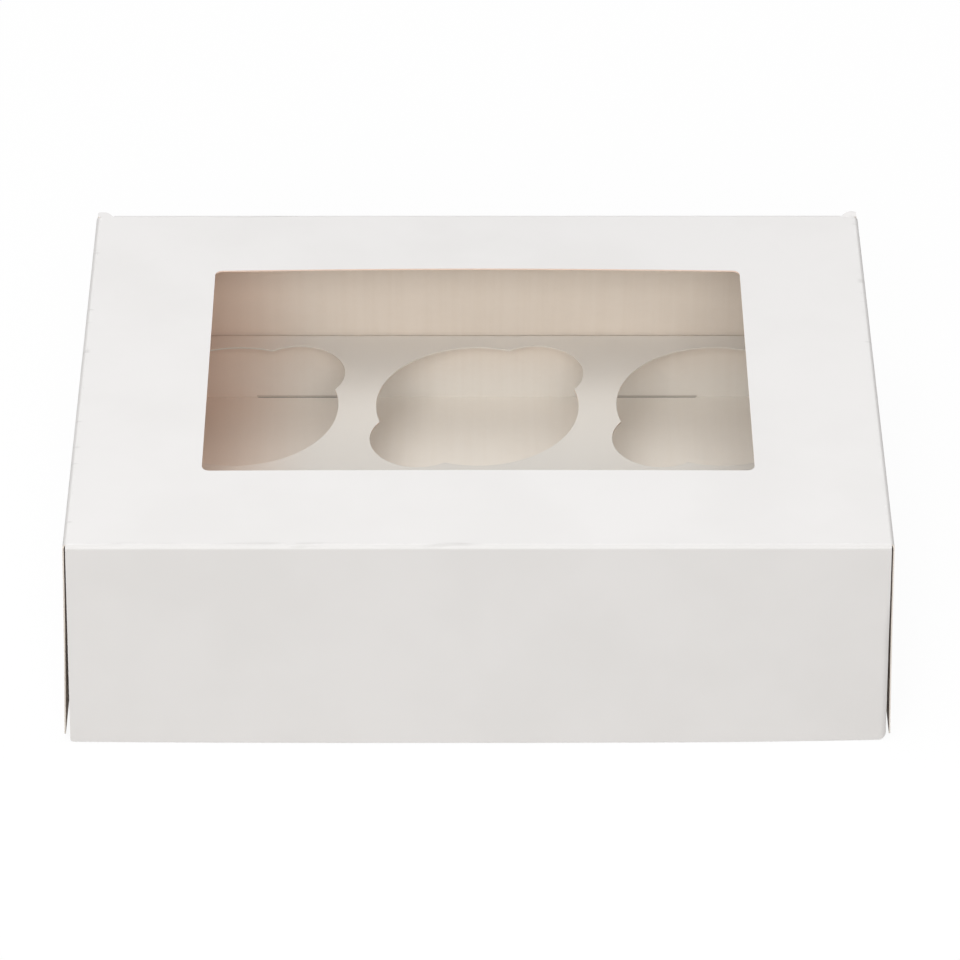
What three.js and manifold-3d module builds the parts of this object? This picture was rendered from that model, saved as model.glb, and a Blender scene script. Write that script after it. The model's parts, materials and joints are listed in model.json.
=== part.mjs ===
// Six-hole cupcake box in thin white board, closed: a glued tray, a hinged lid with a clear window,
// three lid flaps that hang outside the tray, and a loose insert card that holds the cakes apart.
// Millimetres, +Z up. The origin is at the middle of the box, on the surface that it stands on.
// X runs along the wide front, the front flap faces -Y and the lid hinges along the back, +Y.
import * as THREE from 'three';
import { mergeVertices } from 'three/addons/utils/BufferGeometryUtils.js';
import Module from 'manifold-3d';

const wasm = await Module();
wasm.setup();

// Overall size of the closed box, taken over the lid's creases
const boxWidth = 250;
const boxDepth = 180;
const boxHeight = 73;

// Board and creases
const board = 0.5;
const foldRadius = 1.3;
const creaseGap = 0.3;
const foldSteps = 4;

// Tray
const trayGap = 0.5;
const trayHeadroom = 0.4;
const glueTab = 22;
const glueTabSlope = 5;
const wallEndInset = 0.8;
const slotLength = 40;
const slotWidth = 1.7;
const slotOuterEnd = 74;

// Lid, with the small ears that the slits at the ends of the back crease leave
const windowWidth = 169.4;
const windowFrontMargin = 38.3;
const windowBackMargin = 33.4;
const windowCorner = 2.2;
const earWidth = 5.5;
const earReach = 1.3;
const earSlit = 0.5;
const earRelief = 3;

// Window film
const filmThickness = 0.15;
const filmOverlap = 8;

// Flaps: how far each leans out at its lower edge, and its own outline
const frontFlapInset = 0.9;
const frontFlapSpread = 1.5;
const frontFlapLean = 1.3;
const frontFlapLift = 0.3;
const frontFlapCorner = 2;
const sideFlapInset = 1.6;
const sideFlapTaper = 1.5;
const sideFlapLean = 2.4;
const sideFlapLift = 2.8;
const sideFlapCorner = 3;

// Insert card and its holes, each a round hole with two finger cut-outs. The card holds as many
// holes as its size lets it, spread evenly between the bands of card left along its edges.
const insertHeight = 25.9;
const insertSideGap = 1;
const insertEndGap = 0.1;
const insertSideBand = 10.1;
const insertEndBand = 7.5;
const smallestLand = 8;
const holeRadius = 33.2;
const fingerRadius = 15.6;
const fingerReach = 26.8;
const fingerAngle = THREE.MathUtils.degToRad(43.5);

// Places that follow from the sizes
const halfWidth = boxWidth / 2;
const halfDepth = boxDepth / 2;
const creaseHeight = boxHeight - foldRadius;
const trayHalfWidth = halfWidth - board - trayGap;
const trayFront = -(halfDepth - board - trayGap);
const trayBack = halfDepth;
const wallTop = boxHeight - board - trayHeadroom;
const backWallTop = creaseHeight - creaseGap;

const coatedBoard = new THREE.MeshStandardMaterial({ color: 0xedecea, roughness: 0.55, metalness: 0 });
const rawBoard = new THREE.MeshStandardMaterial({ color: 0xe0d2c0, roughness: 0.9, metalness: 0 });
const insertBoard = new THREE.MeshStandardMaterial({ color: 0xe6e1d8, roughness: 0.7, metalness: 0 });
const clearFilm = new THREE.MeshStandardMaterial({
  color: 0xf4f6f6, roughness: 0.08, metalness: 0, transparent: true, opacity: 0.25,
});

const point = (x, y) => new THREE.Vector2(x, y);

// Section of a folded sheet. The points run along its outer face, the board lies on the left of
// that line (side 1) or on its right (side -1), and every fold bends towards the board.
function foldedSection(outerPoints, side) {
  const outer = [];
  const inner = [];
  const last = outerPoints.length - 1;
  const inward = (direction) => point(-direction.y * side, direction.x * side);
  for (let i = 0; i <= last; i += 1) {
    const here = outerPoints[i];
    const before = i > 0 ? here.clone().sub(outerPoints[i - 1]).normalize() : null;
    const after = i < last ? outerPoints[i + 1].clone().sub(here).normalize() : null;
    if (!before || !after) {
      outer.push(here.clone());
      inner.push(here.clone().addScaledVector(inward(before ?? after), board));
      continue;
    }
    const turn = Math.acos(THREE.MathUtils.clamp(before.dot(after), -1, 1));
    const centre = here.clone()
      .addScaledVector(before, -foldRadius * Math.tan(turn / 2))
      .addScaledVector(inward(before), foldRadius);
    const start = inward(before).negate().angle();
    for (let step = 0; step <= foldSteps; step += 1) {
      const angle = start + (side * turn * step) / foldSteps;
      const spoke = point(Math.cos(angle), Math.sin(angle));
      outer.push(centre.clone().addScaledVector(spoke, foldRadius));
      inner.push(centre.clone().addScaledVector(spoke, foldRadius - board));
    }
  }
  const outline = [...outer, ...inner.reverse()];
  const far = (p, q) => p.distanceTo(q) > 1e-4;
  return new THREE.Shape(outline.filter((p, i) => far(p, outline[(i + 1) % outline.length])));
}

// Rectangle between two corners, with a rounding radius for each corner in turn from the lower left
function roundedPanel(low, high, radii) {
  const corners = [point(low.x, low.y), point(high.x, low.y), point(high.x, high.y), point(low.x, high.y)];
  return roundedOutline(corners, radii);
}

// Closed outline through corners in anticlockwise order, each rounded by its own radius
function roundedOutline(corners, radii) {
  const outline = [];
  corners.forEach((corner, i) => {
    const radius = radii[i];
    if (radius === 0) {
      outline.push(corner);
      return;
    }
    const toBefore = corners.at(i - 1).clone().sub(corner).normalize();
    const toAfter = corners[(i + 1) % corners.length].clone().sub(corner).normalize();
    const half = Math.acos(toBefore.dot(toAfter)) / 2;
    const middle = toBefore.clone().add(toAfter).normalize();
    const centre = corner.clone().addScaledVector(middle, radius / Math.sin(half));
    const sweep = Math.PI - 2 * half;
    const start = middle.clone().negate().angle() - sweep / 2;
    for (let step = 0; step <= foldSteps; step += 1) {
      const angle = start + (sweep * step) / foldSteps;
      outline.push(point(centre.x + radius * Math.cos(angle), centre.y + radius * Math.sin(angle)));
    }
  });
  return new THREE.Shape(outline);
}

function circleShape(x, y, radius) {
  const shape = new THREE.Shape();
  shape.absarc(x, y, radius, 0, 2 * Math.PI, false);
  return shape;
}

// Geometry to a solid for cutting and joining, and back again
function solidOf(geometry) {
  const bare = geometry.clone();
  bare.deleteAttribute('normal');
  bare.deleteAttribute('uv');
  const merged = mergeVertices(bare, 1e-4);
  return new wasm.Manifold(new wasm.Mesh({
    numProp: 3,
    vertProperties: new Float32Array(merged.attributes.position.array),
    triVerts: new Uint32Array(merged.index.array),
  }));
}

function geometryOf(solid) {
  const mesh = solid.getMesh();
  const geometry = new THREE.BufferGeometry();
  geometry.setAttribute('position', new THREE.BufferAttribute(new Float32Array(mesh.vertProperties), 3));
  geometry.setIndex(new THREE.BufferAttribute(new Uint32Array(mesh.triVerts), 1));
  geometry.computeVertexNormals();
  return geometry;
}

const join = (solids) => solids.reduce((whole, solid) => whole.add(solid));

// Straight pieces of a section: drawn in X-Y and run up Z, in Y-Z and run along X, or in X-Z and
// run along Y
const drawnFlat = new THREE.Matrix4();
const drawnOnSide = new THREE.Matrix4().makeBasis(
  new THREE.Vector3(0, 1, 0), new THREE.Vector3(0, 0, 1), new THREE.Vector3(1, 0, 0),
);
const drawnOnFront = new THREE.Matrix4().makeBasis(
  new THREE.Vector3(1, 0, 0), new THREE.Vector3(0, 0, 1), new THREE.Vector3(0, -1, 0),
);

function prism(shape, from, to, curveSegments = 12) {
  const geometry = new THREE.ExtrudeGeometry(shape, { depth: to - from, bevelEnabled: false, curveSegments });
  return geometry.translate(0, 0, from);
}

const upZ = (shape, from, to, segments) => solidOf(prism(shape, from, to, segments).applyMatrix4(drawnFlat));
const alongX = (shape, from, to) => solidOf(prism(shape, from, to).applyMatrix4(drawnOnSide));
const alongY = (shape, from, to) => solidOf(prism(shape, -to, -from).applyMatrix4(drawnOnFront));

function block(x0, x1, y0, y1, z0, z1) {
  const geometry = new THREE.BoxGeometry(x1 - x0, y1 - y0, z1 - z0);
  return solidOf(geometry.translate((x0 + x1) / 2, (y0 + y1) / 2, (z0 + z1) / 2));
}

// One sheet folded up into floor and four walls. The front and back walls end in tabs that turn
// the corners and are glued inside the side walls. Two slots are cut along the back floor crease.
function trayGeometry() {
  const tabFace = trayHalfWidth - board;
  const floorAndEnds = foldedSection([
    point(trayFront, wallTop), point(trayFront, 0), point(trayBack, 0), point(trayBack, backWallTop),
  ], 1);
  const floorAndSides = foldedSection([
    point(-trayHalfWidth, wallTop), point(-trayHalfWidth, 0),
    point(trayHalfWidth, 0), point(trayHalfWidth, wallTop),
  ], 1);
  const frontWithTabs = foldedSection([
    point(-tabFace, trayFront + glueTab), point(-tabFace, trayFront),
    point(tabFace, trayFront), point(tabFace, trayFront + glueTab),
  ], 1);
  const backWithTabs = foldedSection([
    point(tabFace, trayBack - glueTab), point(tabFace, trayBack),
    point(-tabFace, trayBack), point(-tabFace, trayBack - glueTab),
  ], 1);
  const sheet = join([
    alongX(floorAndEnds, -(tabFace - foldRadius), tabFace - foldRadius),
    alongY(floorAndSides, trayFront + foldRadius, trayBack - foldRadius),
    upZ(frontWithTabs, foldRadius, wallTop),
    upZ(backWithTabs, foldRadius, backWallTop),
    ...[-1, 1].map((side) => {
      const faces = [side * tabFace, side * trayHalfWidth].sort((a, b) => a - b);
      return block(...faces, trayFront + wallEndInset, trayBack - wallEndInset, foldRadius, wallTop);
    }),
  ]);
  const cuts = [-1, 1].flatMap((side) => {
    const slotMiddle = side * (slotOuterEnd - slotLength / 2);
    const slotBack = trayBack - board;
    const slot = roundedPanel(
      point(slotMiddle - slotLength / 2, slotBack - slotWidth),
      point(slotMiddle + slotLength / 2, slotBack),
      [0.4, 0.4, 0.4, 0.4].map((share) => share * slotWidth),
    );
    const reliefEdges = [side * (halfWidth - earWidth - 2 * foldRadius), side * (halfWidth + board)];
    const relief = block(
      ...reliefEdges.sort((a, b) => a - b),
      trayBack - earReach - foldRadius, trayBack + board,
      creaseHeight - earRelief, boxHeight,
    );
    return [upZ(slot, -board, 2 * board), relief, ...tabEndCuts(side)];
  });
  return geometryOf(cuts.reduce((whole, cut) => whole.subtract(cut), sheet));
}

// The free end of each glue tab slopes back at its top and its foot
function tabEndCuts(side) {
  const inner = trayHalfWidth - 2 * board;
  const face = trayHalfWidth - board;
  const bounds = [side * (inner - board), side * face].sort((a, b) => a - b);
  const triangle = (endY, towards, z, up) => {
    const corners = [
      point(endY + towards * board, z - up * board),
      point(endY - towards * glueTabSlope, z - up * board),
      point(endY - towards * glueTabSlope, z),
      point(endY + towards * board, z + up * 2 * glueTabSlope),
    ];
    const area = THREE.ShapeUtils.area(corners);
    return alongX(new THREE.Shape(area > 0 ? corners : corners.reverse()), ...bounds);
  };
  const foot = board;
  return [
    triangle(trayFront + glueTab, 1, foot, 1),
    triangle(trayBack - glueTab, -1, foot, 1),
    triangle(trayFront + glueTab, 1, wallTop, -1),
    triangle(trayBack - glueTab, -1, wallTop, -1),
  ];
}

// The lid panel runs into a quarter bend at each crease. The window is open board, and the back
// crease stops short of the corners, where a slit leaves a small flat ear that stands out behind.
function lidGeometry() {
  const panelHalfWidth = halfWidth - foldRadius;
  const panelHalfDepth = halfDepth - foldRadius;
  const underside = boxHeight - board;
  const sideBends = foldedSection([
    point(halfWidth, creaseHeight), point(halfWidth, boxHeight),
    point(-halfWidth, boxHeight), point(-halfWidth, creaseHeight),
  ], 1);
  const frontBend = foldedSection([
    point(0, boxHeight), point(-halfDepth, boxHeight), point(-halfDepth, creaseHeight),
  ], 1);
  const backBend = foldedSection([
    point(halfDepth, creaseHeight), point(halfDepth, boxHeight), point(0, boxHeight),
  ], 1);
  const backHalf = halfWidth - earWidth - earSlit;
  const ears = [-1, 1].map((side) => {
    const edges = [side * (halfWidth - earWidth), side * (halfWidth - creaseGap)].sort((a, b) => a - b);
    const outline = roundedPanel(
      point(edges[0], panelHalfDepth - foldRadius), point(edges[1], halfDepth + earReach),
      [0, 0, foldRadius, foldRadius],
    );
    return upZ(outline, underside, boxHeight);
  });
  const opening = roundedPanel(windowLow, windowHigh, Array(4).fill(windowCorner));
  return geometryOf(join([
    alongY(sideBends, -panelHalfDepth, panelHalfDepth),
    alongX(frontBend, -panelHalfWidth, panelHalfWidth),
    alongX(backBend, -backHalf, backHalf),
    ...ears,
  ]).subtract(upZ(opening, underside - board, boxHeight + board)));
}

const windowLow = point(-windowWidth / 2, -halfDepth + windowFrontMargin);
const windowHigh = point(windowWidth / 2, halfDepth - windowBackMargin);

// Clear film glued to the underside of the lid round the window
function filmGeometry() {
  const top = boxHeight - board;
  const outline = roundedPanel(
    windowLow.clone().subScalar(filmOverlap), windowHigh.clone().addScalar(filmOverlap),
    Array(4).fill(windowCorner),
  );
  return geometryOf(upZ(outline, top - filmThickness, top));
}

// A flap is drawn hanging from its crease: X along the crease, Z up to it, outer face at Y = 0
function flapGeometry(topHalf, bottomHalf, length, corner) {
  const outline = roundedOutline([
    point(-bottomHalf, -length), point(bottomHalf, -length),
    point(topHalf, -creaseGap), point(-topHalf, -creaseGap),
  ], [corner, corner, 0, 0]);
  return geometryOf(alongY(outline, 0, board));
}

// Insert card: folded down along front and back into legs that stand on the tray floor
function insertGeometry() {
  const front = trayFront + foldRadius + insertEndGap;
  const back = trayBack - foldRadius - insertEndGap;
  const half = trayHalfWidth - 2 * board - insertSideGap;
  const section = foldedSection([
    point(front, board), point(front, insertHeight), point(back, insertHeight), point(back, board),
  ], -1);
  const columns = holeCentres(-half + insertSideBand, half - insertSideBand);
  const rows = holeCentres(front + insertEndBand, back - insertEndBand);
  const holes = columns.flatMap((x) => rows.map((y) => holeCutter(x, y)));
  return geometryOf(alongX(section, -half, half).subtract(join(holes)));
}

// Centres of the holes that fit between two edges, the first and last against them
function holeCentres(from, to) {
  const diameter = 2 * holeRadius;
  const count = Math.max(1, Math.floor((to - from + smallestLand) / (diameter + smallestLand)));
  if (count === 1) return [(from + to) / 2];
  const pitch = (to - from - diameter) / (count - 1);
  return Array.from({ length: count }, (_, i) => from + holeRadius + i * pitch);
}

function holeCutter(x, y) {
  const reachX = fingerReach * Math.cos(fingerAngle);
  const reachY = fingerReach * Math.sin(fingerAngle);
  const low = insertHeight - 3 * board;
  const high = insertHeight + board;
  return join([
    upZ(circleShape(x, y, holeRadius), low, high, 32),
    upZ(circleShape(x + reachX, y + reachY, fingerRadius), low, high, 20),
    upZ(circleShape(x - reachX, y - reachY, fingerRadius), low, high, 20),
  ]);
}

function named(name, geometry, material) {
  const mesh = new THREE.Mesh(geometry, material);
  mesh.name = name;
  return mesh;
}

// A flap hangs from its crease and leans out by its own angle
function hungFlap(name, geometry, { x, y, turn, lean, length }) {
  const crease = new THREE.Group();
  crease.position.set(x, y, creaseHeight);
  crease.rotation.z = turn;
  const flap = named(name, geometry, coatedBoard);
  flap.rotation.x = -Math.asin(lean / length);
  crease.add(flap);
  return crease;
}

const box = new THREE.Group();
box.name = 'cupcake_box';
box.add(named('base_tray', trayGeometry(), rawBoard));
box.add(named('cupcake_insert', insertGeometry(), insertBoard));
box.add(named('lid_panel', lidGeometry(), coatedBoard));
box.add(named('window_film', filmGeometry(), clearFilm));

const frontTop = halfWidth - frontFlapInset;
const frontLength = creaseHeight - frontFlapLift;
box.add(hungFlap(
  'front_flap',
  flapGeometry(frontTop, frontTop + frontFlapSpread, frontLength, frontFlapCorner),
  { x: 0, y: -halfDepth, turn: 0, lean: frontFlapLean, length: frontLength },
));

const sideTop = halfDepth - sideFlapInset;
const sideLength = creaseHeight - sideFlapLift;
for (const [name, side] of [['left_flap', -1], ['right_flap', 1]]) {
  box.add(hungFlap(
    name,
    flapGeometry(sideTop, sideTop - sideFlapTaper, sideLength, sideFlapCorner),
    { x: side * halfWidth, y: 0, turn: (side * Math.PI) / 2, lean: sideFlapLean, length: sideLength },
  ));
}

export default box;
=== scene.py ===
# Looks of the six-hole cupcake box: thin white board folded from flat sheets, a clear window film
# and a raised insert card, seen from above the front as in the photograph.
import json
import math
import bpy
import bmesh
from mathutils import Matrix, Quaternion, Vector


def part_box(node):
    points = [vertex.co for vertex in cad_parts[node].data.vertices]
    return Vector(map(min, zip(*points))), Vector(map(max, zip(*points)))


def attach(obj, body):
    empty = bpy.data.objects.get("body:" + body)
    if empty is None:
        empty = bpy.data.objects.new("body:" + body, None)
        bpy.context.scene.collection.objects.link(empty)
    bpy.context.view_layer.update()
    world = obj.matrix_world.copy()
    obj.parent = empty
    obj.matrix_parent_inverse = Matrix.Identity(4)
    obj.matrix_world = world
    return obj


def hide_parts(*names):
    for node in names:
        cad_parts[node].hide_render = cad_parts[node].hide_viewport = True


MM = 0.001

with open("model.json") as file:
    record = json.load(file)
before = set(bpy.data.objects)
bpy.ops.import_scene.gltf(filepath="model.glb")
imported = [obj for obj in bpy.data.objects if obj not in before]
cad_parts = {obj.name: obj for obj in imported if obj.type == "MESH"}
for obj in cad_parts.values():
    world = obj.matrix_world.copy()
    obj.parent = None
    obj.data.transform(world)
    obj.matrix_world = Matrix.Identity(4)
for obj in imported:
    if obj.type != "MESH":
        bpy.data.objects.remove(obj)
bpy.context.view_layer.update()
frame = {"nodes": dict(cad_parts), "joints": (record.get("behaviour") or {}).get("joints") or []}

# Places taken from the frame
joint_at = {joint["name"]: Vector(joint["pos_m"]) for joint in frame["joints"]}
lid_low, lid_high = (Vector(corner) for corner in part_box("lid_panel"))
film_low, film_high = (Vector(corner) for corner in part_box("window_film"))
insert_low, insert_high = (Vector(corner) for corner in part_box("cupcake_insert"))
HALF_WIDTH = joint_at["right_flap_hinge"].x
HALF_DEPTH = -joint_at["front_flap_hinge"].y
CREASE_Z = joint_at["front_flap_hinge"].z
TOP_Z = lid_high.z

# Board and creases
BOARD = 0.5 * MM
FOLD_RADIUS = TOP_Z - CREASE_Z
FOLD_LENGTH = FOLD_RADIUS * math.pi / 2
PANEL_X = HALF_WIDTH - FOLD_RADIUS
PANEL_Y = HALF_DEPTH - FOLD_RADIUS
CORNER_STEPS = 7

# Window and film
FILM_OVERLAP = 8 * MM
FILM_THICKNESS = 0.12 * MM
WINDOW_CORNER = 2.4 * MM
WINDOW_LOW = Vector((film_low.x, film_low.y, 0)) + Vector((FILM_OVERLAP, FILM_OVERLAP, 0))
WINDOW_HIGH = Vector((film_high.x, film_high.y, 0)) - Vector((FILM_OVERLAP, FILM_OVERLAP, 0))

# Painted shade at the slots along the back floor crease, which are cut through the tray, and on the
# insert's back leg behind them
SLOT_MIDDLE = 54 * MM
SLOT_HALF = 20 * MM
SLOT_FROM = 88.3 * MM
SLOT_TOP = 2.1 * MM
LEG_SLOT_SHADE_TOP = 1.15 * MM
SLOT_BLUR = 0.25 * MM
SLOT_SHADE_STRENGTH = 0.3
LEG_SLOT_SHADE_MARGIN = 4 * MM

# Ears at the ends of the back crease
EAR_WIDTH = 5.5 * MM
EAR_SLIT = 0.15 * MM
EAR_SIDE = 0.4 * MM
EAR_SLOPE = 2 * MM
EAR_CORNER = 0.7 * MM
EAR_INNER_CORNER = 1.2 * MM
EAR_ROOT = 0.1 * MM
SIDE_CREASE_END = 0.4 * MM

# Camera, solved from the lid's corners, the back floor crease and the middle hole
CAMERA_PLACE = Vector((-4.0, -1290.9, 989.8)) * MM
CAMERA_PITCH = math.radians(36.6)
CAMERA_YAW = math.radians(0.21)
CAMERA_ROLL = math.radians(0.102)
CAMERA_FOCUS_PX = 5036
PICTURE_PX = 960
SENSOR_MM = 36


def add_camera():
    data = bpy.data.cameras.new("photo_camera")
    data.sensor_width = SENSOR_MM
    data.lens = CAMERA_FOCUS_PX / PICTURE_PX * SENSOR_MM
    camera = bpy.data.objects.new("photo_camera", data)
    level = math.cos(CAMERA_PITCH)
    sight = Vector((math.sin(CAMERA_YAW) * level, math.cos(CAMERA_YAW) * level, -math.sin(CAMERA_PITCH)))
    turn = sight.to_track_quat("-Z", "Y") @ Quaternion((0, 0, 1), CAMERA_ROLL)
    camera.matrix_world = Matrix.Translation(CAMERA_PLACE) @ turn.to_matrix().to_4x4()
    bpy.context.scene.collection.objects.link(camera)
    bpy.context.scene.camera = camera


# Shader maths

class Socket:
    """A node's output, or a number, that adds Math nodes when it is used in an expression."""

    def __init__(self, shader, value):
        self.shader = shader
        self.value = value

    def _math(self, operation, *values):
        return self.shader.add("ShaderNodeMath", {"operation": operation}, dict(enumerate(values)))

    def __add__(self, other):
        return self._math("ADD", self, other)

    def __sub__(self, other):
        return self._math("SUBTRACT", self, other)

    def __rsub__(self, other):
        return self._math("SUBTRACT", other, self)

    def __mul__(self, other):
        return self._math("MULTIPLY", self, other)

    def absolute(self):
        return self._math("ABSOLUTE", self)

    def most(self, other):
        return self._math("MAXIMUM", self, other)

    def above(self, limit):
        return self._math("GREATER_THAN", self, limit)

    def ramp(self, low, high, start=0.0, end=1.0):
        """Runs smoothly from start at low to end at high."""
        return self.shader.add(
            "ShaderNodeMapRange",
            {"interpolation_type": "SMOOTHSTEP"},
            {"Value": self, "From Min": low, "From Max": high, "To Min": start, "To Max": end},
        )


class Shader:
    """One procedural material or world, built from node calls."""

    def __init__(self, name, world=False):
        self.owner = bpy.data.worlds.new(name) if world else bpy.data.materials.new(name)
        self.owner.use_nodes = True
        self.tree = self.owner.node_tree
        self.tree.nodes.clear()
        self.output = self.tree.nodes.new("ShaderNodeOutputWorld" if world else "ShaderNodeOutputMaterial")

    def add(self, kind, settings=None, inputs=None, output=0):
        node = self.tree.nodes.new(kind)
        for name, value in (settings or {}).items():
            setattr(node, name, value)
        for name, value in (inputs or {}).items():
            self.feed(node.inputs[name], value)
        return Socket(self, node.outputs[output])

    def feed(self, socket, value):
        if isinstance(value, Socket):
            self.tree.links.new(value.value, socket)
        else:
            socket.default_value = value

    def place(self):
        return self.add("ShaderNodeTexCoord", output="Object")

    def split(self, vector):
        parts = self.tree.nodes.new("ShaderNodeSeparateXYZ")
        self.tree.links.new(vector.value, parts.inputs[0])
        return [Socket(self, output) for output in parts.outputs]

    def seen_by(self, *rays):
        """1 for the given kinds of rays, 0 for all others."""
        seen = self.add("ShaderNodeLightPath", output=f"Is {rays[0]} Ray")
        for ray in rays[1:]:
            seen = seen.most(self.add("ShaderNodeLightPath", output=f"Is {ray} Ray"))
        return seen

    def stretched(self, vector, scale):
        return self.add("ShaderNodeMapping", {}, {"Vector": vector, "Scale": scale})

    def noise(self, vector, scale, detail=4.0, roughness=0.55):
        return self.add("ShaderNodeTexNoise", {}, {
            "Vector": vector, "Scale": scale, "Detail": detail, "Roughness": roughness,
        })

    def mix_colour(self, factor, first, second):
        node = self.tree.nodes.new("ShaderNodeMix")
        node.data_type = "RGBA"
        self.feed(node.inputs["Factor"], factor)
        colours = [socket for socket in node.inputs if socket.type == "RGBA"]
        self.feed(colours[0], first)
        self.feed(colours[1], second)
        result = next(socket for socket in node.outputs if socket.type == "RGBA")
        return Socket(self, result)

    def bump(self, height, strength, distance):
        return self.add("ShaderNodeBump", {}, {
            "Height": height, "Strength": strength, "Distance": distance,
        })

    def principled(self, **inputs):
        named = {name.replace("_", " "): value for name, value in inputs.items()}
        return self.add("ShaderNodeBsdfPrincipled", {}, named)

    def mix_shaders(self, factor, first, second):
        return self.add("ShaderNodeMixShader", {}, {0: factor, 1: first, 2: second})

    def finish(self, surface):
        self.tree.links.new(surface.value, self.output.inputs["Surface"])
        return self.owner


# Tones and patterns of the board. The scales are those of the noise, per metre.

COATED_WHITE = (0.79, 0.776, 0.767, 1)
COATED_SHADE = (0.766, 0.752, 0.741, 1)
# Painted shade along the lid's folds, which tones down the light that their rounding catches
CREASE_PAINTED_SHADE = (0.665, 0.652, 0.64, 1)
# Painted shade of small crumples and wrinkles along the folds
WRINKLE_PAINTED_SHADE = (0.50, 0.488, 0.47, 1)
RAW_CREAM = (0.86, 0.77, 0.68, 1)
RAW_CREAM_SHADE = (0.83, 0.735, 0.64, 1)
# Paler tones of the same raw side: painted light on the tray's floor and on the walls below the insert
# card
FLOOR_LIT_CREAM = (0.965, 0.925, 0.87, 1)
FLOOR_LIT_CREAM_FLECK = (0.94, 0.895, 0.835, 1)
WARM_CREAM = (0.97, 0.70, 0.55, 1)
WARM_FROM = -50 * MM
WARM_TO = -98 * MM
WARMTH = 0.7
CUT_EDGE = (0.87, 0.82, 0.76, 1)
CUT_EDGE_DARK = (0.79, 0.72, 0.65, 1)
WINDOW_EDGE_SHADE = (0.84, 0.66, 0.56, 1)
# Painted shade of the dark gap in the slots
SLOT_PAINTED_SHADE = (0.33, 0.255, 0.19, 1)
CARD_WHITE = (0.80, 0.772, 0.738, 1)
CARD_SHADE = (0.778, 0.748, 0.71, 1)
GRAIN_SCALE = 2600
SOFT_SCALE = 260
CLOUD_SCALE = 22
SHEEN_SCALE = 90
FLECK_SCALE = 900
STREAK_SCALE = 420
WRINKLE_SCALE = 300
FUR_SCALE = 3500
RIPPLE_SCALE = 18
COATED_SMOOTHEST = 0.42
COATED_ROUGHEST = 0.52
RAW_ROUGHNESS = 0.88
EDGE_ROUGHNESS = 0.95
# Drops below the lid's top where the painted shade along the folds comes in, and where it fades to the
# part that is left
FOLD_SHADE_DEEP = 0.1 * MM
FOLD_SHADE_FADE_FROM = 0.3 * MM
FOLD_SHADE_FADE_TO = 0.9 * MM
FOLD_SHADE_LEFT = 0.35
WRINKLE_REACH = 1.6 * MM
WRINKLE_STRENGTH = 0.35
WINDOW_RIM = 2 * MM


def left_warmth(x):
    """Warm shade that gathers towards the tray's left wall."""
    return x.ramp(WARM_TO, WARM_FROM, WARMTH, 0.0)


def board_fibres(shader, place):
    """Fine fibre relief that lies a little along X, the way that the board was rolled."""
    grain = shader.noise(shader.stretched(place, (0.35, 1, 1)), GRAIN_SCALE, 3)
    soft = shader.noise(place, SOFT_SCALE, 2)
    return grain * 0.7 + soft * 0.3


def clouded(shader, place, white, shade):
    """Cloudy patches that hardly show."""
    return shader.mix_colour(shader.noise(place, CLOUD_SCALE, 3).ramp(0.35, 0.7), white, shade)


def coated_face(shader, place, colour):
    """Clay-coated side: smooth, with a soft satin."""
    sheen_patches = shader.noise(place, SHEEN_SCALE, 3)
    return shader.principled(
        Base_Color=colour,
        Roughness=sheen_patches.ramp(0.3, 0.7, COATED_SMOOTHEST, COATED_ROUGHEST),
        Specular_IOR_Level=0.4,
        Normal=shader.bump(board_fibres(shader, place), 0.12, 0.02 * MM),
    )


def raw_face(shader, place, cream, shade):
    """Uncoated side: matt, with visible fibre flecks."""
    flecks = shader.noise(shader.stretched(place, (0.3, 1, 1)), FLECK_SCALE, 5, 0.65).ramp(0.4, 0.75)
    streaks = shader.noise(shader.stretched(place, (1, 0.03, 0.03)), STREAK_SCALE, 2).ramp(0.3, 0.7)
    colour = shader.mix_colour(flecks * 0.4 + streaks * 0.6, cream, shade)
    return shader.principled(
        Base_Color=colour,
        Roughness=RAW_ROUGHNESS,
        Specular_IOR_Level=0.25,
        Normal=shader.bump(board_fibres(shader, place), 0.3, 0.03 * MM),
    )


def coated_board(name):
    shader = Shader(name)
    place = shader.place()
    return shader.finish(coated_face(shader, place, clouded(shader, place, COATED_WHITE, COATED_SHADE)))


def lid_face(name):
    """Coated board with painted shade along its folds, which tones down the light that their rounding
    catches, and the painted shade of fine wrinkles along them.
    """
    shader = Shader(name)
    place = shader.place()
    x, y, z = shader.split(place)
    past = (x.absolute() - PANEL_X).most(y.absolute() - PANEL_Y)
    drop = TOP_Z - z
    # Painted shade along the folds: darkest where the board starts to bend down, then fading to a part of
    # it
    fold_painted_shade = drop.ramp(0, FOLD_SHADE_DEEP) * drop.ramp(FOLD_SHADE_FADE_FROM, FOLD_SHADE_FADE_TO, 1.0, FOLD_SHADE_LEFT)
    # Painted shade of fine wrinkles, in thin lines near the folds
    lines = shader.noise(shader.stretched(place, (0.12, 1, 1)), WRINKLE_SCALE, 3).ramp(0.6, 0.72)
    wrinkle_painted_shade = lines * past.ramp(-WRINKLE_REACH, 0) * WRINKLE_STRENGTH
    colour = clouded(shader, place, COATED_WHITE, COATED_SHADE)
    colour = shader.mix_colour(fold_painted_shade, colour, CREASE_PAINTED_SHADE)
    return shader.finish(coated_face(shader, place, shader.mix_colour(wrinkle_painted_shade, colour, WRINKLE_PAINTED_SHADE)))


def card_face(name):
    """Coated top of the insert card, warmer towards the tray's left wall."""
    shader = Shader(name)
    place = shader.place()
    x, _, _ = shader.split(place)
    colour = clouded(shader, place, CARD_WHITE, CARD_SHADE)
    return shader.finish(coated_face(shader, place, shader.mix_colour(left_warmth(x), colour, WARM_CREAM)))


def raw_board(name):
    shader = Shader(name)
    return shader.finish(raw_face(shader, shader.place(), RAW_CREAM, RAW_CREAM_SHADE))


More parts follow.
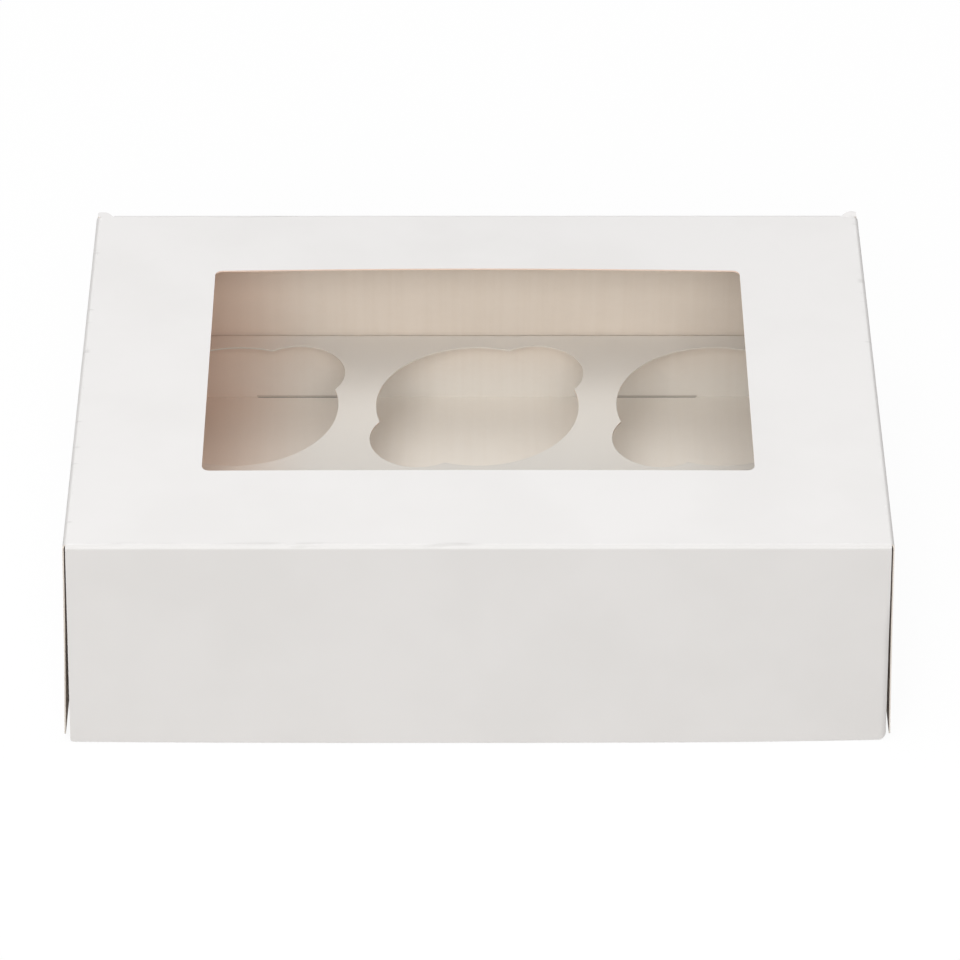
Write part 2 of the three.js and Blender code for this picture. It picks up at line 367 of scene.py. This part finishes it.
def raw_in_tray(shader, place, slot_from, slot_top):
    """Raw side inside the tray: painted light makes it paler at the floor and low on the walls, painted
    warm shade gathers at the left and painted shade darkens it at the slots.
    """
    x, y, z = shader.split(place)
    # Painted light: the floor and the walls below the insert card take the paler floor tones
    on_wall = z.ramp(FOLD_RADIUS, insert_high.z)
    warm = left_warmth(x)
    # Painted shade round the slots, which are cut through the tray, and on the insert's back leg behind
    # them
    painted_slot_shade = ((x.absolute() - SLOT_MIDDLE).absolute().ramp(SLOT_HALF, SLOT_HALF + SLOT_BLUR, 1.0, 0.0)
            * z.ramp(slot_top, slot_top + SLOT_BLUR, 1.0, 0.0)
            * y.ramp(slot_from - SLOT_BLUR, slot_from) * SLOT_SHADE_STRENGTH)
    tones = []
    for lit_low_tone, wall_tone in ((FLOOR_LIT_CREAM, RAW_CREAM), (FLOOR_LIT_CREAM_FLECK, RAW_CREAM_SHADE)):
        cream = shader.mix_colour(warm, shader.mix_colour(on_wall, lit_low_tone, wall_tone), WARM_CREAM)
        tones.append(shader.mix_colour(painted_slot_shade, cream, SLOT_PAINTED_SHADE))
    return raw_face(shader, place, *tones)


def card_back(name):
    shader = Shader(name)
    # Painted shade on the back leg, behind the tray's slots
    slot_from = -insert_low.y - LEG_SLOT_SHADE_MARGIN
    return shader.finish(raw_in_tray(shader, shader.place(), slot_from, LEG_SLOT_SHADE_TOP))


def cut_edge(name):
    """Die-cut edge: the cream core of the board, a little furry; round the window it is darker and warmer,
    a painted shade with the film's painted reflection of the edge.
    """
    shader = Shader(name)
    place = shader.place()
    x, y, _ = shader.split(place)
    fur = shader.noise(place, FUR_SCALE, 3).ramp(0.3, 0.75)
    colour = shader.mix_colour(fur, CUT_EDGE, CUT_EDGE_DARK)
    # Painted shade and reflection on the cut edge round the window's rim
    beyond = (x.absolute() - WINDOW_HIGH.x).most(y.absolute() - WINDOW_HIGH.y)
    return shader.finish(shader.principled(
        Base_Color=shader.mix_colour(beyond.ramp(WINDOW_RIM, 2 * WINDOW_RIM), WINDOW_EDGE_SHADE, colour),
        Roughness=EDGE_ROUGHNESS,
        Specular_IOR_Level=0.2,
        Normal=shader.bump(fur, 0.4, 0.05 * MM),
    ))


def tray_board(name):
    """Tray sheet: coated on its outer side and raw on its inner side, told apart by the place."""
    shader = Shader(name)
    place = shader.place()
    x, y, z = shader.split(place)
    low, high = (Vector(corner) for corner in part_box("base_tray"))
    skin = BOARD / 2
    outside = (x.absolute().above(high.x - skin)
               .most(y.above(high.y - skin))
               .most((y * -1).above(-low.y - skin))
               .most((z * -1).above(-low.z - skin)))
    raw = raw_in_tray(shader, place, SLOT_FROM, SLOT_TOP)
    coated = coated_face(shader, place, clouded(shader, place, COATED_WHITE, COATED_SHADE))
    return shader.finish(shader.mix_shaders(outside, raw, coated))


FILM_GLOSS = 0.55


def window_film(name):
    """Clear film: lets the light through and mirrors a little of the room."""
    shader = Shader(name)
    place = shader.place()
    ripple = shader.noise(shader.stretched(place, (0.4, 1, 1)), RIPPLE_SCALE, 2)
    normal = shader.bump(ripple, 0.25, 1.2 * MM)
    facing = shader.add("ShaderNodeFresnel", {}, {"IOR": 1.5, "Normal": normal})
    behind = shader.add("ShaderNodeNewGeometry", output="Backfacing")
    mirror = shader.principled(
        Base_Color=(0.93, 0.94, 0.94, 1), Metallic=1.0, Roughness=0.06, Normal=normal,
    )
    clear = shader.add("ShaderNodeBsdfTransparent", {}, {"Color": (0.985, 0.985, 0.98, 1)})
    return shader.finish(shader.mix_shaders(facing * (1 - behind) * FILM_GLOSS, clear, mirror))


# Sheets: cut flat from an outline, sliced finely enough to bend, then folded and given thickness

LID_SLICE = 5 * MM
FILM_SLICE = 6 * MM
FRONT_FLAP_SLICE = 5 * MM
SIDE_FLAP_SLICE = 6 * MM
CARD_SLICE = 8 * MM
SAME_PLACE = 0.001 * MM
FOLD_STEPS = 6
SHARP_ANGLE = math.radians(35)


def box_loop(low, high, corner):
    """Outline of a rectangle with rounded corners."""
    return [(low.x, low.y, corner), (high.x, low.y, corner),
            (high.x, high.y, corner), (low.x, high.y, corner)]


def mirrored(points):
    """Right half of an outline, from front to back, made whole."""
    return points + [(-x, y, radius) for x, y, radius in reversed(points)]

def add_loop(bm, corners):
    """Adds a closed outline through (x, y, radius) corners, with its corners rounded."""
    verts = [bm.verts.new((x, y, 0)) for x, y, _ in corners]
    bm.faces.new(verts)
    for vert, (_, _, radius) in zip(verts, corners):
        if radius:
            bmesh.ops.bevel(bm, geom=[vert], offset=radius, offset_type="OFFSET", affect="VERTICES",
                            segments=CORNER_STEPS, profile=0.5, material=-1)


def flat_sheet(loops, spacing, extra_x=(), extra_y=()):
    """Fills the outlines, inner ones as holes, and slices the sheet into small faces."""
    bm = bmesh.new()
    for loop in loops:
        add_loop(bm, loop)
    bmesh.ops.delete(bm, geom=bm.faces[:], context="FACES_ONLY")
    bmesh.ops.triangle_fill(bm, use_beauty=True, use_dissolve=False, edges=bm.edges[:], normal=(0, 0, 1))
    for axis, extra in ((0, extra_x), (1, extra_y)):
        low = min(vert.co[axis] for vert in bm.verts)
        high = max(vert.co[axis] for vert in bm.verts)
        count = max(1, round((high - low) / spacing))
        places = [low + (high - low) * i / count for i in range(1, count)]
        direction = Vector((1, 0, 0)) if axis == 0 else Vector((0, 1, 0))
        for place in [*places, *extra]:
            bmesh.ops.bisect_plane(bm, geom=bm.verts[:] + bm.edges[:] + bm.faces[:], dist=SAME_PLACE,
                                   plane_co=direction * place, plane_no=direction)
    bmesh.ops.recalc_face_normals(bm, faces=bm.faces[:])
    if sum(face.normal.z for face in bm.faces) < 0:
        bmesh.ops.reverse_faces(bm, faces=bm.faces[:])
    return bm


def bend_slices(start):
    """Places of the slices that let the fold zones past start, on both sides, turn in even steps. One
    more slice lies before each fold, so that its smooth shading ends close to it."""
    places = [start + FOLD_LENGTH * i / FOLD_STEPS for i in range(-1, FOLD_STEPS + 1)]
    return [*places, *[-place for place in places]]


def fold_down(co, axis, start):
    """Bends what lies past start, on either side, down round the fold radius."""
    past = abs(co[axis]) - start
    if past <= 0:
        return
    sign = math.copysign(1, co[axis])
    turn = min(past / FOLD_RADIUS, math.pi / 2)
    straight = max(0.0, past - FOLD_LENGTH)
    co[axis] = sign * (start + FOLD_RADIUS * math.sin(turn))
    co.z -= FOLD_RADIUS * (1 - math.cos(turn)) + straight


def finish_sheet(name, bm, thickness, materials):
    """Turns the sheet into a piece with its thickness laid below the drawn face. The materials are
    those of the drawn face, the back of the sheet and its cut edges."""
    mesh = bpy.data.meshes.new(name)
    bm.to_mesh(mesh)
    bm.free()
    piece = bpy.data.objects.new(name, mesh)
    bpy.context.scene.collection.objects.link(piece)
    for material in materials:
        mesh.materials.append(material)
    solidify = piece.modifiers.new("thickness", "SOLIDIFY")
    solidify.thickness = thickness
    solidify.offset = -1
    solidify.use_even_offset = True
    solidify.use_quality_normals = True
    if len(materials) > 1:
        solidify.material_offset = 1
        solidify.material_offset_rim = 2
    solid = bpy.data.meshes.new_from_object(piece.evaluated_get(bpy.context.evaluated_depsgraph_get()))
    piece.modifiers.clear()
    piece.data = solid
    bpy.data.meshes.remove(mesh)
    solid.name = name
    mark_sharp(solid)
    return piece


def mark_sharp(mesh):
    bm = bmesh.new()
    bm.from_mesh(mesh)
    for face in bm.faces:
        face.smooth = True
    for edge in bm.edges:
        if len(edge.link_faces) == 2:
            edge.smooth = edge.calc_face_angle(0) < SHARP_ANGLE
    bm.to_mesh(mesh)
    bm.free()


# Lid panel with its window, quarter bends and ears

BACK_BOW = 1.2 * MM
FRONT_BOW = 0.3 * MM
BOW_HALF = 112 * MM
BOW_POWER = 1.5
FILM_GAP = 0.02 * MM
RIGHT_EAR_TILT = 0.12
LEFT_EAR_TILT = 0


def lid_bow(x, y):
    """How far the lid's board and film bow up between the corners, most at the window's back edge."""
    across = max(0.0, 1 - (x / BOW_HALF) ** 2) ** BOW_POWER
    if y > WINDOW_HIGH.y:
        along = BACK_BOW * (PANEL_Y - y) / (PANEL_Y - WINDOW_HIGH.y)
    elif y < WINDOW_LOW.y:
        along = FRONT_BOW * (y + PANEL_Y) / (WINDOW_LOW.y + PANEL_Y)
    else:
        share = (y - WINDOW_LOW.y) / (WINDOW_HIGH.y - WINDOW_LOW.y)
        along = FRONT_BOW + (BACK_BOW - FRONT_BOW) * share
    return across * max(0.0, along)


def make_lid(materials):
    bend_x = PANEL_X + FOLD_LENGTH
    bend_y = PANEL_Y + FOLD_LENGTH
    front_x = HALF_WIDTH - FRONT_INSET
    ear_in = HALF_WIDTH - EAR_WIDTH
    ear_out = HALF_WIDTH - EAR_SIDE
    ear_y = lid_high.y
    ear_start = PANEL_Y - EAR_ROOT
    side_end = PANEL_Y - SIDE_CREASE_END
    outline = mirrored([
        (front_x, -bend_y, 0), (front_x, -PANEL_Y, 0), (bend_x, -PANEL_Y, 0),
        (bend_x, side_end, 0), (PANEL_X, side_end, 0), (PANEL_X, ear_start, 0),
        (ear_out, ear_start, 0), (ear_out, ear_y, EAR_CORNER),
        (ear_in + EAR_SLOPE, ear_y, EAR_INNER_CORNER),
        (ear_in, PANEL_Y, 0), (ear_in - EAR_SLIT, PANEL_Y, 0), (ear_in - EAR_SLIT, bend_y, 0),
    ])
    bm = flat_sheet(
        [outline, box_loop(WINDOW_LOW, WINDOW_HIGH, WINDOW_CORNER)], LID_SLICE,
        bend_slices(PANEL_X), bend_slices(PANEL_Y),
    )
    for vert in bm.verts:
        co = vert.co
        bow = lid_bow(co.x, co.y)
        if co.y > side_end + EAR_ROOT and abs(co.x) > ear_in - EAR_ROOT:
            tilt = RIGHT_EAR_TILT if co.x > 0 else LEFT_EAR_TILT
            bow += max(0.0, co.y - ear_start) * tilt
        else:
            fold_down(co, 0, PANEL_X)
            fold_down(co, 1, PANEL_Y)
        co.z += TOP_Z + bow
    lid = finish_sheet("lid_board", bm, BOARD, materials)
    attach(lid, "lid")
    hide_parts("lid_panel")


def make_film(material):
    bm = flat_sheet([box_loop(film_low, film_high, WINDOW_CORNER)], FILM_SLICE)
    for vert in bm.verts:
        vert.co.z = TOP_Z - BOARD - FILM_GAP + lid_bow(vert.co.x, vert.co.y)
    film = finish_sheet("clear_window", bm, FILM_THICKNESS, [material])
    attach(film, "lid")
    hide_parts("window_film")


# Flaps of the lid, drawn flat and hung from their creases

FRONT_INSET = 0.9 * MM
FRONT_SPREAD = 1.5 * MM
FRONT_LIFT = 0.3 * MM
FRONT_LEAN = 4.3 * MM
FRONT_LEFT_CORNER = 1.1 * MM
FRONT_RIGHT_CORNER = 2.3 * MM
FRONT_LEFT_SLACK = 0.7 * MM
FRONT_RIGHT_SLACK = 1.5 * MM
EDGE_CURL_WIDTH = 1.7 * MM
EDGE_CURL = 0.8 * MM
EDGE_CURL_STEPS = 4
EDGE_CURL_FROM = 14 * MM
EDGE_CURL_TO = 34 * MM
SIDE_FLAP_BOARD = 0.4 * MM
SIDE_INSET = 0.9 * MM
SIDE_SPREAD = 1.6 * MM
SIDE_LIFT = 0.6 * MM
SIDE_CORNER = 1 * MM
LEFT_LEAN = 2.6 * MM
RIGHT_LEAN = 2.1 * MM
SIDE_BEND = 0.25


def smooth_step(value, low, high):
    share = min(1.0, max(0.0, (value - low) / (high - low)))
    return share * share * (3 - 2 * share)


def make_front_flap(materials):
    top_half = HALF_WIDTH - FRONT_INSET
    low_half = top_half + FRONT_SPREAD
    drop = CREASE_Z - FRONT_LIFT
    loop = [(-low_half, -drop, FRONT_LEFT_CORNER), (low_half, -drop, FRONT_RIGHT_CORNER),
            (top_half, 0, 0), (-top_half, 0, 0)]
    curl_from = top_half - EDGE_CURL_WIDTH
    extra = [curl_from + EDGE_CURL_WIDTH * i / EDGE_CURL_STEPS for i in range(2 * EDGE_CURL_STEPS)]
    bm = flat_sheet([loop], FRONT_FLAP_SLICE, extra)
    for vert in bm.verts:
        x, down = vert.co.x, -vert.co.y
        share = down / drop
        slack = FRONT_RIGHT_SLACK if x > 0 else FRONT_LEFT_SLACK
        lean = (FRONT_LEAN - slack * abs(x / low_half) ** 3) * share
        edge = top_half + FRONT_SPREAD * share
        curl = max(0.0, (x - (edge - EDGE_CURL_WIDTH)) / EDGE_CURL_WIDTH) ** 2 * EDGE_CURL
        lean -= curl * smooth_step(down, EDGE_CURL_FROM, EDGE_CURL_TO)
        vert.co = Vector((x, -HALF_DEPTH - lean, CREASE_Z - down))
    flap = finish_sheet("front_flap_board", bm, BOARD, materials)
    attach(flap, "front_flap")
    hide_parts("front_flap")


def make_side_flap(name, side, lean_out, materials):
    top_half = HALF_DEPTH - SIDE_INSET
    low_half = top_half + SIDE_SPREAD
    drop = CREASE_Z - SIDE_LIFT
    loop = [(-low_half, -drop, SIDE_CORNER), (low_half, -drop, SIDE_CORNER),
            (top_half, 0, 0), (-top_half, 0, 0)]
    bm = flat_sheet([loop], SIDE_FLAP_SLICE)
    for vert in bm.verts:
        along, down = vert.co.x, -vert.co.y
        share = down / drop
        lean = lean_out * ((1 - SIDE_BEND) * share + SIDE_BEND * share * share)
        vert.co = Vector((side * (HALF_WIDTH + lean), side * along, CREASE_Z - down))
    flap = finish_sheet(f"{name}_board", bm, SIDE_FLAP_BOARD, materials)
    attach(flap, name)
    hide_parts(name)


# Insert card: six round holes with two finger notches each, and legs folded down front and back

HOLE_RADIUS = 33.2 * MM
FINGER_RADIUS = 15.6 * MM
FINGER_REACH = 26.8 * MM
FINGER_ANGLE = math.radians(43.5)
SIDE_BAND = 10.1 * MM
END_BAND = 7.5 * MM
ARC_STEPS = 22


def arc(centre, radius, start, end, steps):
    """Points of an arc, without its last one."""
    return [
        (centre[0] + radius * math.cos(start + (end - start) * i / steps),
         centre[1] + radius * math.sin(start + (end - start) * i / steps), 0)
        for i in range(steps)
    ]


def hole_loop(x, y):
    """The joined outline of the round hole and its two finger notches."""
    along = (FINGER_REACH ** 2 + HOLE_RADIUS ** 2 - FINGER_RADIUS ** 2) / (2 * FINGER_REACH)
    meet = math.acos(along / HOLE_RADIUS)
    notch_half = math.atan2(HOLE_RADIUS * math.sin(meet), along - FINGER_REACH)
    points = []
    for turn in (FINGER_ANGLE, FINGER_ANGLE + math.pi):
        notch = (x + FINGER_REACH * math.cos(turn), y + FINGER_REACH * math.sin(turn))
        points += arc(notch, FINGER_RADIUS, turn - notch_half, turn + notch_half, ARC_STEPS)
        points += arc((x, y), HOLE_RADIUS, turn + meet, turn + math.pi - meet, ARC_STEPS)
    return points


def make_insert(materials):
    half = insert_high.x
    middle = (insert_low.y + insert_high.y) / 2
    flat_half = (insert_high.y - insert_low.y) / 2 - FOLD_RADIUS
    leg = insert_high.z - insert_low.z - FOLD_RADIUS
    reach = flat_half + FOLD_LENGTH + leg
    outline = [(-half, -reach, 0), (half, -reach, 0), (half, reach, 0), (-half, reach, 0)]
    column = half - SIDE_BAND - HOLE_RADIUS
    row = (insert_high.y - insert_low.y) / 2 - END_BAND - HOLE_RADIUS
    holes = [hole_loop(x, y) for x in (-column, 0, column) for y in (-row, row)]
    bm = flat_sheet([outline, *holes], CARD_SLICE, extra_y=bend_slices(flat_half))
    for vert in bm.verts:
        fold_down(vert.co, 1, flat_half)
        vert.co += Vector((0, middle, insert_high.z))
    card = finish_sheet("insert_card", bm, BOARD, materials)
    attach(card, "tray")
    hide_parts("cupcake_insert")


# Stage: white floor, white surroundings and soft light

FLOOR_SIZE = 12
SEEN_WHITE = 0.93
FOOTPRINT_INSET = 1.5 * MM
SLOT_SHADE = 2.5 * MM
FLOOR_PAPER = (0.95, 0.95, 0.95, 1)
FLOOR_BOUNCE = (0.33, 0.31, 0.285, 1)
WHITE = (1, 1, 1, 1)
ROOM_LIGHT = 0.35
LIGHT_TARGET = Vector((0, 0, 0.05))

# Name, place, size and power of each soft light
SOFTBOXES = (
    ("front_softbox", (-0.32, -2.48, 1.63), (2.4, 1.5), 55),
    ("overhead_softbox", (-0.22, -0.25, 2.6), (1.8, 1.8), 33),
)


def add_floor():
    """Floor that the camera sees as white. Under the box and in a strip just behind it, it keeps its dark
    bounce colour, a painted shade that shows through the slots."""
    bm = bmesh.new()
    bmesh.ops.create_grid(bm, x_segments=2, y_segments=2, size=FLOOR_SIZE / 2)
    mesh = bpy.data.meshes.new("floor")
    bm.to_mesh(mesh)
    bm.free()
    floor = bpy.data.objects.new("floor", mesh)
    bpy.context.scene.collection.objects.link(floor)
    shader = Shader("floor_white")
    x, y, _ = shader.split(shader.place())
    across = x.absolute() - HALF_WIDTH + FOOTPRINT_INSET
    along = (y - HALF_DEPTH - SLOT_SHADE).most(y * -1 - HALF_DEPTH + FOOTPRINT_INSET)
    # Inside the footprint and the strip behind it, camera rays also get the dark bounce colour: painted
    # shade seen through the slots
    shown = shader.seen_by("Camera", "Glossy", "Transmission") * across.most(along).above(0)
    paper = shader.principled(
        Base_Color=shader.mix_colour(shown, FLOOR_BOUNCE, FLOOR_PAPER),
        Roughness=0.9,
        Specular_IOR_Level=0.1,
    )
    white = shader.add("ShaderNodeEmission", {}, {"Color": WHITE, "Strength": 1.0})
    mesh.materials.append(shader.finish(shader.mix_shaders(shown * SEEN_WHITE, paper, white)))


def add_world():
    """Even light from all sides, and plain white to the camera and in mirrors."""
    shader = Shader("white_room", world=True)
    lit, white = (
        shader.add("ShaderNodeBackground", {}, {"Color": WHITE, "Strength": strength})
        for strength in (ROOM_LIGHT, 1.0)
    )
    seen = shader.seen_by("Camera", "Glossy")
    bpy.context.scene.world = shader.finish(shader.mix_shaders(seen, lit, white))


def add_softbox(name, place, size, power):
    data = bpy.data.lights.new(name, "AREA")
    data.shape = "RECTANGLE"
    data.size, data.size_y = size
    data.energy = power
    lamp = bpy.data.objects.new(name, data)
    sight = LIGHT_TARGET - Vector(place)
    lamp.matrix_world = Matrix.Translation(place) @ sight.to_track_quat("-Z", "Y").to_matrix().to_4x4()
    bpy.context.scene.collection.objects.link(lamp)


def main():
    add_camera()
    white = coated_board("coated_white_board")
    raw = raw_board("raw_board_side")
    edge = cut_edge("board_cut_edge")
    sheet = [white, raw, edge]
    make_lid([lid_face("lid_coated_board"), raw, edge])
    make_film(window_film("clear_window_film"))
    make_front_flap(sheet)
    make_side_flap("left_flap", -1, LEFT_LEAN, sheet)
    make_side_flap("right_flap", 1, RIGHT_LEAN, sheet)
    make_insert([card_face("insert_card_face"), card_back("insert_card_back"), edge])
    tray = frame["nodes"]["base_tray"]
    tray.data.materials.clear()
    tray.data.materials.append(tray_board("tray_board_sheet"))
    add_floor()
    add_world()
    for softbox in SOFTBOXES:
        add_softbox(*softbox)
    bpy.context.scene.view_settings.view_transform = "Standard"


main()
